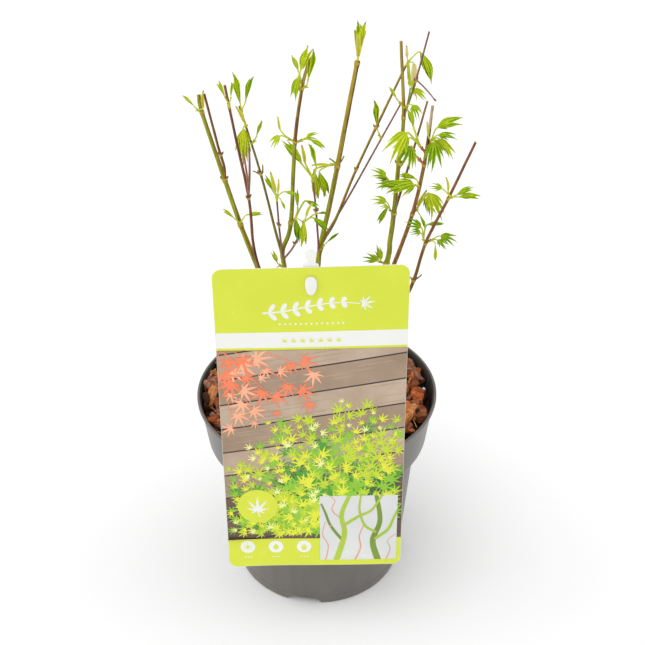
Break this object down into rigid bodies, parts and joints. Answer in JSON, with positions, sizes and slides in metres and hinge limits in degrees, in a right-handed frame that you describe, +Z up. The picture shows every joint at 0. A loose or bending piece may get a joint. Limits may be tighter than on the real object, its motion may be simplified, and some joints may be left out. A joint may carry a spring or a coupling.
{
  "type": "potted maple shrub",
  "caption": "Young pruned Japanese maple with opening leaves on slender green and brown stems, in a round grey nursery pot with bark mulch and a blank-worded printed card on a stake.",
  "frame": {"origin": "middle of the pot's flat underside", "axes": "+Z up, -Y to the front, where the card hangs, +X to the right seen from the front"},
  "size_m": [0.2074, 0.2031, 0.4536],
  "materials": {
    "pot_plastic": "moulded grey polypropylene, satin",
    "compost": "moist crumbly compost",
    "bark_mulch": "rough shredded bark chips",
    "green_bark": "smooth olive-green bark",
    "brown_bark": "smooth red-brown bark",
    "young_leaf": "soft yellow-green young leaves",
    "label_card": "printed lime-green plastic card",
    "stake_plastic": "moulded white plastic"
  },
  "bodies": {
    "root": {"pot": "pot_plastic", "compost": "compost", "bark_mulch": "bark_mulch", "trunk": "green_bark", "stem_a": "green_bark", "stem_a_side": "brown_bark", "stem_a_inner": "brown_bark", "stem_b": "green_bark", "stem_b_left": "green_bark", "stem_b_front": "green_bark", "stem_b_right": "green_bark", "stem_c": "green_bark", "stem_c_left": "green_bark", "stem_c_long": "brown_bark", "stem_c_back": "brown_bark", "stem_d": "green_bark", "stem_d_right": "brown_bark", "stem_d_tall": "brown_bark", "stem_e": "brown_bark", "stem_f": "brown_bark", "leaves_a_top": "young_leaf", "leaves_a_mid": "young_leaf", "leaves_a_low": "young_leaf", "leaves_a_inner_top": "young_leaf", "leaves_b_left_top": "young_leaf", "leaves_b_left_hang": "young_leaf", "leaves_b_left_mid": "young_leaf", "leaves_b_front": "young_leaf", "leaves_b_right": "young_leaf", "leaves_b_base": "young_leaf", "leaves_b_low": "young_leaf", "leaves_b_hidden": "young_leaf", "leaves_b_mid_left": "young_leaf", "leaves_b_mid_right": "young_leaf", "leaves_b_top": "young_leaf", "leaves_b_top_right": "young_leaf", "leaves_c_left_tip": "young_leaf", "leaves_c_fork": "young_leaf", "leaves_c_low": "young_leaf", "leaves_c_mid": "young_leaf", "leaves_c_top": "young_leaf", "leaves_c_long_tip": "young_leaf", "leaves_c_back_mid": "young_leaf", "leaves_d_low": "young_leaf", "leaves_d_base": "young_leaf", "leaves_d_joint": "young_leaf", "leaves_d_upper": "young_leaf", "leaves_d_top": "young_leaf", "leaves_d_curl": "young_leaf", "leaves_e_upper_left": "young_leaf", "leaves_e_lower_left": "young_leaf", "leaves_e_mid_left": "young_leaf", "leaves_e_upper_right": "young_leaf", "leaves_e_mid_right": "young_leaf", "leaves_f_low_left": "young_leaf", "leaves_f_low_right": "young_leaf", "leaves_f_mid": "young_leaf", "label_card": "label_card", "label_stake": "stake_plastic"}
  },
  "joints": []
}
